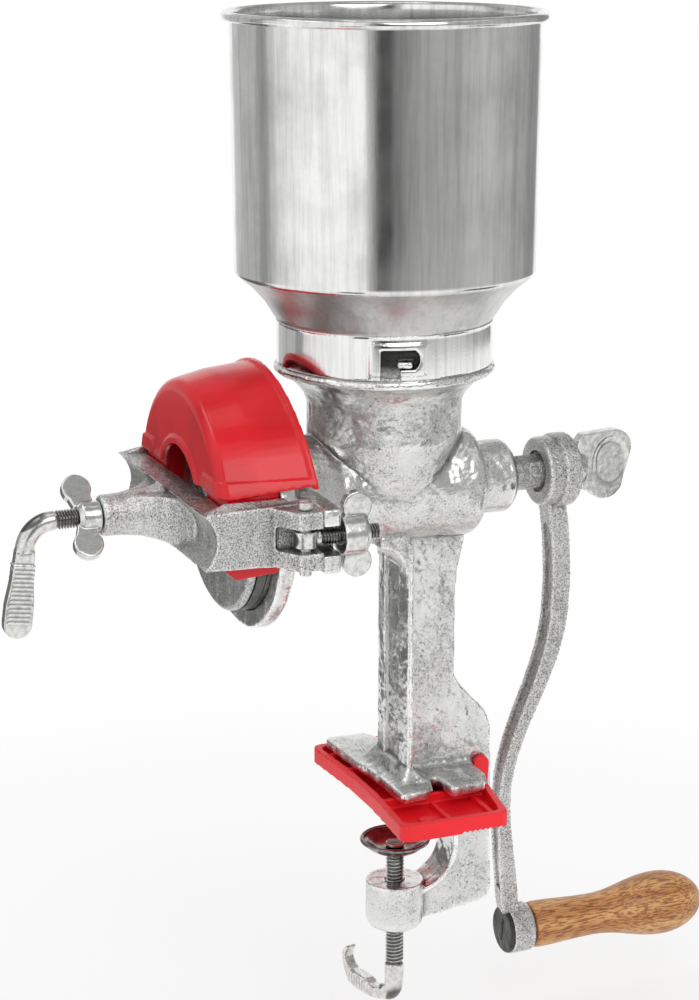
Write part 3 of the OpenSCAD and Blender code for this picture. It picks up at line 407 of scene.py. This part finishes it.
def cast_copy(node, voxel, rounds, wave=0.0, extra=None, keep=1.0):
    """A node's solid with a made skin: rebuilt on an even grid, its edges rounded, uneven if cast.

    voxel is the grid's spacing, rounds how often the edges are smoothed, and wave how deep the
    skin's unevenness is; extra is a function that changes the bmesh before the rebuild; keep is
    the share of the triangles that stays, the flattest going first."""
    bm = bmesh.new()
    bm.from_mesh(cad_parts[node].data)
    bmesh.ops.remove_doubles(bm, verts=bm.verts, dist=MERGE)
    if extra:
        extra(bm)
    even = modified(node + "_even", to_mesh(node + "_rough", bm), "REMESH", mode="VOXEL",
                    voxel_size=voxel)
    bm = bmesh.new()
    bm.from_mesh(even)
    for _ in range(rounds):
        bmesh.ops.smooth_vert(bm, verts=bm.verts, factor=0.5,
                              use_axis_x=True, use_axis_y=True, use_axis_z=True)
    if wave:
        bm.normal_update()
        for vert in bm.verts:
            vert.co += vert.normal * wave * (noise.noise(vert.co / WAVE_SIZE) - WAVE_SINK)
    shade(bm, True)
    bm.to_mesh(even)
    bm.free()
    return modified(node + "_thin", even, "DECIMATE", ratio=keep) if keep < 1 else even


def recast(node, name, body, material, voxel, rounds, **settings):
    """A piece that has its node's shape, as it comes from the mould or the press."""
    finish_piece(name, cast_copy(node, voxel, rounds, **settings), material, body, node)


def turned(points, steps):
    """A bmesh turned round the Z axis from a closed profile of (radius, station) points."""
    bm = bmesh.new()
    corners = [bm.verts.new((r, 0, z)) for r, z in points]
    sides = [bm.edges.new(pair) for pair in zip(corners, corners[1:] + corners[:1])]
    bmesh.ops.spin(bm, geom=corners + sides, cent=(0, 0, 0), axis=Z, angle=TURN, steps=steps,
                   use_merge=True)
    bmesh.ops.remove_doubles(bm, verts=bm.verts, dist=MERGE)
    return bm


def arc(centre, radius, start, end, steps):
    """Points of an arc between two angles in degrees, for profiles."""
    angles = [math.radians(start + (end - start) * i / steps) for i in range(steps + 1)]
    return [(centre[0] + radius * math.cos(a), centre[1] + radius * math.sin(a)) for a in angles]


def thread_ridge(bm, root, crest, pitch, low, high):
    """Adds a helical ridge about Z between two stations: one triangle swept along the helix."""
    turns = (high - low) / pitch - 1
    steps = max(24, int(turns * 20))
    foot = root - 0.3 * MM                  # the ridge's foot is sunk into the rod
    corners = [bm.verts.new((r, 0, low + share * pitch))
               for r, share in ((foot, 0.06), (crest, 0.5), (foot, 0.94))]
    start = bm.faces.new(corners)
    bmesh.ops.spin(bm, geom=[start], cent=(0, 0, 0), axis=Z, dvec=Z * (turns * pitch / steps),
                   angle=TURN * turns, steps=steps, use_duplicate=False)


def neck_down(bm, axis, centre, low, high, root):
    """Turns a stretch of a rod down to the root of its thread."""
    step = 0.25 * MM
    for station in (low, low + step, high - step, high):
        bmesh.ops.bisect_plane(bm, geom=bm.verts[:] + bm.edges[:] + bm.faces[:], dist=MERGE / 10,
                               plane_co=centre + axis * station, plane_no=axis)
    for vert in bm.verts:
        along = (vert.co - centre).dot(axis)
        if low + step * 0.5 < along < high - step * 0.5:
            foot = centre + axis * along
            arm = vert.co - foot
            if arm.length > root:
                vert.co = foot + arm * (root / arm.length)


def add_thread(mesh, axis, centre, low, high, root, crest, pitch):
    """Joins a helical ridge to a mesh, about an axis through a point."""
    bm = bmesh.new()
    thread_ridge(bm, root, crest, pitch, low, high)
    turn = Z.rotation_difference(axis).to_matrix()
    bmesh.ops.rotate(bm, verts=bm.verts, cent=(0, 0, 0), matrix=turn)
    bmesh.ops.translate(bm, verts=bm.verts, vec=centre)
    bmesh.ops.recalc_face_normals(bm, faces=bm.faces)
    shade(bm, False)
    bm.from_mesh(mesh)
    bm.to_mesh(mesh)
    bm.free()


# ---- pieces with a shape or finish of their own ----

def build_auger():
    """The feed screw; its neck between the barrel and the crank is rough-forged to eight flats."""
    mesh = cast_copy("auger", 0.75 * MM, 1)
    flat = TURN / 8
    low, high = 58 * MM, 76 * MM
    blunt = 1.03                            # the flats stop short of sharp corners
    for vert in mesh.vertices:
        if low < vert.co.x < high:
            arm = Vector((0, vert.co.y, vert.co.z - SHAFT.z))
            angle = math.atan2(arm.z, arm.y) % flat - flat / 2
            reach = arm.length * math.cos(flat / 2) / math.cos(angle) * blunt
            arm.length = min(arm.length, reach)
            vert.co = Vector((vert.co.x, arm.y, arm.z + SHAFT.z))
    finish_piece("feed_screw", mesh, DISC_CASTING, "shaft", "auger")


def build_hopper():
    """Drawn tinplate hopper with a wired, rolled rim."""
    wall, bead, wire, bead_off = 0.8 * MM, 2.1 * MM, 1.2 * MM, 1.2 * MM
    draft, taper = 0.2 * MM, 0.8 * MM
    bead_at = (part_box("hopper")[1].x - bead, WIRE_TOP - wire)
    outer_r = bead_at[0] - bead_off - draft
    spout_r = COLLAR_R - 0.04 * MM
    spout_top = SEAT_Z + 19.6 * MM
    shoulder_z = 245 * MM
    wall_top = bead_at[1] - 1.6 * MM
    rings = 26
    spout = [(spout_r, SEAT_Z + 14.5 * MM), (spout_r, spout_top),
             (spout_r + 1.4 * MM, spout_top + 1.8 * MM)]
    cone = [(52.5 * MM, 231 * MM), (58 * MM, 237 * MM)]
    shoulder = arc((outer_r - 3.8 * MM, shoulder_z - MM), 3 * MM, -55, 0, 5)
    straight = [(outer_r - taper + taper * i / rings,
                 shoulder_z + (wall_top - shoulder_z) * i / rings) for i in range(rings + 1)]
    outer = spout + cone + shoulder + straight
    roll = arc(bead_at, bead, -128, 178, 26)
    # Inside, the sloping cone is thinner when measured upright
    inner = [(r - wall, z + (0.4 * MM if r < 60 * MM else 0)) for r, z in reversed(outer)]
    mesh = closed_mesh("hopper_sheet", turned(outer + roll + inner, 176))
    # A drawn wall is never quite round: it wanders in and out, fully so 30 mm above the shoulder
    still_z, rise, wander, pull = shoulder_z - 4 * MM, 30 * MM, 0.16 * MM, 0.05 * MM
    for vert in mesh.vertices:
        if vert.co.z > still_z:
            around = math.atan2(vert.co.y, vert.co.x)
            lift = min(1.0, (vert.co.z - still_z) / rise)
            swing = noise.noise(Vector((3.1 * math.cos(around), 3.1 * math.sin(around),
                                        7 * vert.co.z)))
            outwards = Vector((vert.co.x, vert.co.y, 0)).normalized()
            vert.co += outwards * (wander * swing * lift - pull)
    crisp_edges(mesh)
    finish_piece("hopper_sheet", mesh, HOPPER_SHEET, "hopper", "hopper")


def build_cup():
    """Pressed steel cup that bears under the table."""
    low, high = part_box("clamp_cup")
    rim_r = (high.y - low.y) / 2
    bore, lip = 3.1 * MM, 0.9 * MM
    # The dished underside from the bore outwards, the rolled lip, and the upper side back in;
    # heights count from the floor of the cup
    under = [(bore, 0), (7.5 * MM, 0), (10.4 * MM, 0.9 * MM), (12.8 * MM, 2.4 * MM),
             (14.6 * MM, 4.2 * MM), (15.5 * MM, 5.0 * MM)]
    above = [(12.0 * MM, 3.9 * MM), (9.8 * MM, 2.7 * MM), (7.0 * MM, 2.0 * MM), (bore, 2.0 * MM)]
    profile = ([(r, low.z + z) for r, z in under]
               + arc((rim_r - lip, high.z - lip), lip, -70, 190, 10)
               + [(13.6 * MM, high.z - 1.3 * MM)] + [(r, low.z + z) for r, z in above])
    bm = turned(profile, 96)
    bmesh.ops.translate(bm, verts=bm.verts, vec=(CLAMP_X, 0, 0))
    mesh = crisp_edges(closed_mesh("clamp_cup_pressing", bm))
    finish_piece("clamp_cup_pressing", mesh, BRIGHT_ZINC, "cup", "clamp_cup")


def threaded_bar(node, name, body, material, axis, centre, thread, voxel=0.42 * MM, runout=0.0):
    """A screw or bolt: its solid turned down to the thread's root, with a helical ridge laid on.

    thread gives low and high stations along the axis, crest radius, depth and pitch; the turned
    stretch ends runout short of the high station."""
    low, high, crest, depth, pitch = thread
    root = crest - depth
    mesh = cast_copy(node, voxel, 3,
                     extra=lambda bm: neck_down(bm, axis, centre, low, high - runout, root))
    add_thread(mesh, axis, centre, low, high, root, crest, pitch)
    steel = zinc_plate(material, thread=(axis, centre, root, crest))
    finish_piece(name, mesh, steel, body, node)


def build_screws():
    """Clamp screw, adjusting screw and the two swing bolts, each with a rolled thread."""
    threaded_bar("clamp_screw", "clamp_screw_bar", "clamp_screw", "zinc_clamp_screw",
                 Z, Vector((CLAMP_X, 0, 0)),
                 (-84 * MM, -28.6 * MM, 4.38 * MM, 0.95 * MM, 1.75 * MM))
    threaded_bar("adjusting_screw", "adjusting_screw_bar", "adjusting_screw",
                 "zinc_adjusting_screw", X, SHAFT,
                 (-149.6 * MM, -96 * MM, 4.13 * MM, 0.75 * MM, 1.25 * MM))
    pivot_x, side_y = -62.5 * MM, 66 * MM
    for side, bolt_y in (("near", -side_y), ("far", side_y)):
        threaded_bar(side + "_swing_bolt", side + "_swing_bolt_bar", side + "_bolt",
                     "zinc_%s_swing_bolt" % side, X, Vector((pivot_x, bolt_y, SHAFT.z)),
                     (6 * MM, 32 * MM, 3.48 * MM, 0.85 * MM, 1.25 * MM),
                     voxel=0.3 * MM, runout=0.3 * MM)


def press(mesh, centre, reach, depth):
    """Presses a shallow oval into both faces of a wing that stands along X and Z."""
    # Where the oval's wall starts and how wide it is, as shares of its reach, and how squarely a
    # corner has to face sideways to be on the wing's face
    brim, slope, facing = 1.12, 0.24, 0.7
    for vert in mesh.vertices:
        off = math.hypot((vert.co.x - centre.x) / reach[0], (vert.co.z - centre.z) / reach[1])
        if off < brim and abs(vert.normal.y) > facing:
            fall = min(1.0, (brim - off) / slope)
            vert.co.y -= math.copysign(depth * fall, vert.co.y)


def build_thumb_screw():
    """The screw that holds the crank; its flat wing has a pressed oval on each face."""
    mesh = cast_copy("thumb_screw", 0.4 * MM, 4)
    wing_middle = SHAFT + Vector((111.6 * MM, 0, 1.4 * MM))
    press(mesh, wing_middle, (8.2 * MM, 10.8 * MM), 0.9 * MM)
    finish_piece("thumb_screw_cast", mesh, ZINC, "thumb_screw", "thumb_screw")


def build_grip():
    """Turned wooden grip, swelling to the palm, with a bore for its bolt."""
    low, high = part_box("grip")
    length = high.x - low.x
    palm_r = (high.y - low.y) / 2
    bore, face_r, front_r, waist_r, edge = 3.4 * MM, 9.4 * MM, 11.4 * MM, 10.2 * MM, 1.8 * MM
    waist, swell, bore_end = 0.36 * length, 0.75 * length, length - 8 * MM
    steps = 22

    def glide(start, end):
        """Points of a soft S from one (radius, station) to the next."""
        shares = [i / steps for i in range(1, steps + 1)]
        return [(start[0] + (end[0] - start[0]) * (1 - math.cos(math.pi * t)) / 2,
                 start[1] + (end[1] - start[1]) * t) for t in shares]

    profile = [(bore, 0), (face_r, 0)] + arc((face_r, edge), edge, -80, 0, 5)
    profile += glide((front_r, edge), (waist_r, waist)) + glide((waist_r, waist), (palm_r, swell))
    profile += [(palm_r * math.cos(TURN / 4 * i / steps),
                 swell + (length - swell) * math.sin(TURN / 4 * i / steps))
                for i in range(1, steps)]
    profile += [(0, length), (0, bore_end), (bore, bore_end)]
    bm = turned(profile, 96)
    # From upright to lying along the shaft
    bmesh.ops.rotate(bm, verts=bm.verts, cent=(0, 0, 0), matrix=Matrix.Rotation(TURN / 4, 3, "Y"))
    bmesh.ops.translate(bm, verts=bm.verts,
                        vec=(low.x, (low.y + high.y) / 2, (low.z + high.z) / 2))
    mesh = crisp_edges(closed_mesh("grip_turning", bm), 50)
    finish_piece("grip_turning", mesh, GRIP_OAK, "grip", "grip")


def dress_inner_nodes():
    """Inner pieces keep their solids and take a finish."""
    finishes = {"fixed_burr": BURR_IRON, "rotating_burr": BURR_IRON, "fixed_burr_screws": ZINC,
                "holder_screws": ZINC, "drive_pin": ZINC, "thrust_ball": BRIGHT_ZINC,
                "rim_wire": ZINC}
    for name, finish in finishes.items():
        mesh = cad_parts[name].data
        mesh.materials.clear()
        mesh.materials.append(finish)


# Castings
recast("mill_body", "body_casting", "frame", BODY_CASTING, 0.8 * MM, 2, wave=0.3 * MM, keep=0.4)
recast("yoke", "yoke_casting", "frame", ARM_CASTING, 0.6 * MM, 2, wave=0.2 * MM)
recast("crank", "crank_casting", "shaft", ARM_CASTING, 0.55 * MM, 2, wave=0.15 * MM)
build_auger()
recast("burr_holder", "burr_plate", "shaft", DISC_CASTING, 0.75 * MM, 2, wave=0.1 * MM)
# Sheet metal
build_hopper()
recast("hopper_collar", "collar_sheet", "hopper", COLLAR_SHEET, 0.42 * MM, 5)
build_cup()
# Plastics
recast("cover", "cover_moulding", "cover", COVER_RED, 0.55 * MM, 1)
recast("table_pad", "pad_moulding", "frame", PAD_RED, 0.5 * MM, 1)
# Hardware
build_screws()
for nut in ("near", "far", "lock"):
    recast(nut + "_wing_nut", nut + "_wing_nut_cast", nut + "_nut", ZINC, 0.38 * MM, 5)
build_thumb_screw()
for side in ("near", "far"):
    recast(side + "_pivot_pin", side + "_pivot_pin_riveted", "frame", ZINC, 0.3 * MM, 4)
build_grip()
recast("grip_bolt", "grip_bolt_head", "shaft", BLACK_STEEL, 0.38 * MM, 2)
dress_inner_nodes()


# ---------------------------------------------------------------- studio

HEADING = 0.38785                           # radians that the camera looks from +Y towards +X
PITCH = 0.258572                            # radians that it looks down
ROLL = 0.00087                              # radians that it leans
CAMERA_AT = Vector((-0.401752, -0.943648, 0.411121))
LENS_MM, SENSOR_MM = 86.41, 36
WHITE = (1, 1, 1, 1)


def set_camera():
    """A long lens that looks at the object from its left front, a little from above."""
    forward = Vector((math.sin(HEADING) * math.cos(PITCH), math.cos(HEADING) * math.cos(PITCH),
                      -math.sin(PITCH)))
    right = Vector((math.cos(HEADING), -math.sin(HEADING), 0))
    up = right.cross(forward)
    right, up = (right * math.cos(ROLL) + up * math.sin(ROLL),
                 up * math.cos(ROLL) - right * math.sin(ROLL))
    data = bpy.data.cameras.new("camera")
    data.lens, data.sensor_width = LENS_MM, SENSOR_MM
    data.clip_start, data.clip_end = 0.05, 50
    camera = place("camera", data)
    camera.matrix_world = Matrix((right, up, -forward)).transposed().to_4x4()
    camera.location = CAMERA_AT
    bpy.context.scene.camera = camera


def set_floor():
    """A pale floor that fades into the white beyond it."""
    drop, radius, white_from = 30 * MM, 6.0, 0.6
    bm = bmesh.new()
    bmesh.ops.create_circle(bm, cap_ends=True, segments=96, radius=radius)
    bmesh.ops.translate(bm, verts=bm.verts, vec=(0, 0, cad_box[0].z - drop))
    mesh = to_mesh("floor", bm)
    floor = place("floor", mesh)
    paint, tree, shader, where = surface("floor_paper", "f4f4f4", roughness=0.9)
    glow = add(tree, "Emission", Color=WHITE, Strength=1.0)
    away = add(tree, "VectorMath", {"Vector": where}, operation="LENGTH").outputs["Value"]
    fade = add(tree, "MapRange", {"Value": away}, From_Min=-0.5,
               From_Max=white_from).outputs["Result"]
    mixed = add(tree, "MixShader", {"Fac": fade, "Shader": shader.outputs["BSDF"],
                                    "Shader_001": glow.outputs["Emission"]})
    tree.links.new(mixed.outputs["Shader"], tree.nodes["Material Output"].inputs["Surface"])
    mesh.materials.append(paint)


def set_world():
    """White for the camera and in polished metal; a plain soft grey light for everything else."""
    world = bpy.data.worlds.new("studio")
    bpy.context.scene.world = world
    world.use_nodes = True
    tree = world.node_tree
    path = add(tree, "LightPath").outputs
    seen = add(tree, "Math", {"Value": path["Is Camera Ray"], "Value_001": path["Is Glossy Ray"]},
               operation="MAXIMUM").outputs["Value"]
    shown = add(tree, "Math", {"Value": seen, "Value_001": path["Is Transmission Ray"]},
                operation="MAXIMUM").outputs["Value"]
    soft = add(tree, "Background", Color=WHITE, Strength=0.75)
    white = add(tree, "Background", Color=WHITE, Strength=1.0)
    chosen = add(tree, "MixShader", {"Fac": shown, "Shader": soft.outputs["Background"],
                                     "Shader_001": white.outputs["Background"]})
    tree.links.new(chosen.outputs["Shader"], tree.nodes["World Output"].inputs["Surface"])


def set_board(name, start, end, level, low=0.06, high=1.1, distance=0.8):
    """A studio board that only polished surfaces see: an upright arc round the object, between
    two angles in degrees from the camera's side, counted towards its right."""
    degrees_per_step = 4
    bm = bmesh.new()
    foot = bm.verts.new((0, -distance, low))
    head = bm.verts.new((0, -distance, high))
    side = [foot, head, bm.edges.new((foot, head))]
    bmesh.ops.rotate(bm, verts=[foot, head], cent=(0, 0, 0),
                     matrix=Matrix.Rotation(math.radians(start) - HEADING, 3, "Z"))
    bmesh.ops.spin(bm, geom=side, cent=(0, 0, 0), axis=Z, angle=math.radians(end - start),
                   steps=max(2, int((end - start) / degrees_per_step)))
    mesh = to_mesh(name, bm)
    board = place(name, mesh)
    paint, tree = surface(name, "000000", roughness=1.0)[:2]
    glow = add(tree, "Emission", Color=WHITE, Strength=level)
    tree.links.new(glow.outputs["Emission"], tree.nodes["Material Output"].inputs["Surface"])
    mesh.materials.append(paint)
    board.visible_camera = board.visible_diffuse = board.visible_shadow = False


def add_lamp(name, at, size, watts):
    """A rectangular soft lamp, aimed at the middle of the object."""
    data = bpy.data.lights.new(name, "AREA")
    data.shape = "RECTANGLE"
    data.size, data.size_y = size
    data.energy = watts
    lamp = place(name, data)
    lamp.location = at
    lamp.rotation_euler = (LAMP_AIM - Vector(at)).to_track_quat("-Z", "Y").to_euler()
    lamp.visible_camera = False


LAMP_AIM = Vector((0, 0, 0.12))
# Grey steps round the object: start and end in degrees, level. Left open from -66 to -13, where
# the hopper shows its bright band.
BOARDS = (
    (-150, -135, 0.56), (-135, -106, 0.47), (-106, -94, 0.3), (-94, -86, 0.55),
    (-86, -76, 0.78), (-76, -66, 0.9), (-13, -7, 0.4), (-7, 4, 0.03), (4, 13, 0.17),
    (13, 24, 0.26), (24, 35, 0.34), (35, 55, 0.38), (55, 65, 0.45), (65, 85, 0.5),
    (85, 105, 0.44), (105, 125, 0.37), (125, 150, 0.28))
# Boards that go lower or higher: name, start, end, level, foot, head, distance
OTHER_BOARDS = (
    ("board_back_high", 110, 250, 0.45, 0.66, 1.6, 0.85),
    ("low_board_left", -150, -100, 0.15, -0.14, 0.1, 0.5),
    ("low_board_front", -34, -16, 0.06, -0.14, 0.05, 0.5),
    ("low_board_right", 62, 96, 0.1, -0.14, 0.05, 0.5),
    ("board_above", -180, 180, 0.35, 0.66, 1.6, 0.3))

set_camera()
set_floor()
set_world()
for count, (start, end, level) in enumerate(BOARDS):
    set_board("board_%02d" % count, start, end, level, low=0.0 if end < -90 else 0.06)
for board in OTHER_BOARDS:
    set_board(*board)
add_lamp("key", (-0.02, -0.72, 0.56), (0.5, 0.62), 2.2)
add_lamp("top", (-0.5, 0.1, 1.3), (0.6, 0.6), 2.6)

bpy.context.scene.view_settings.view_transform = "Standard"
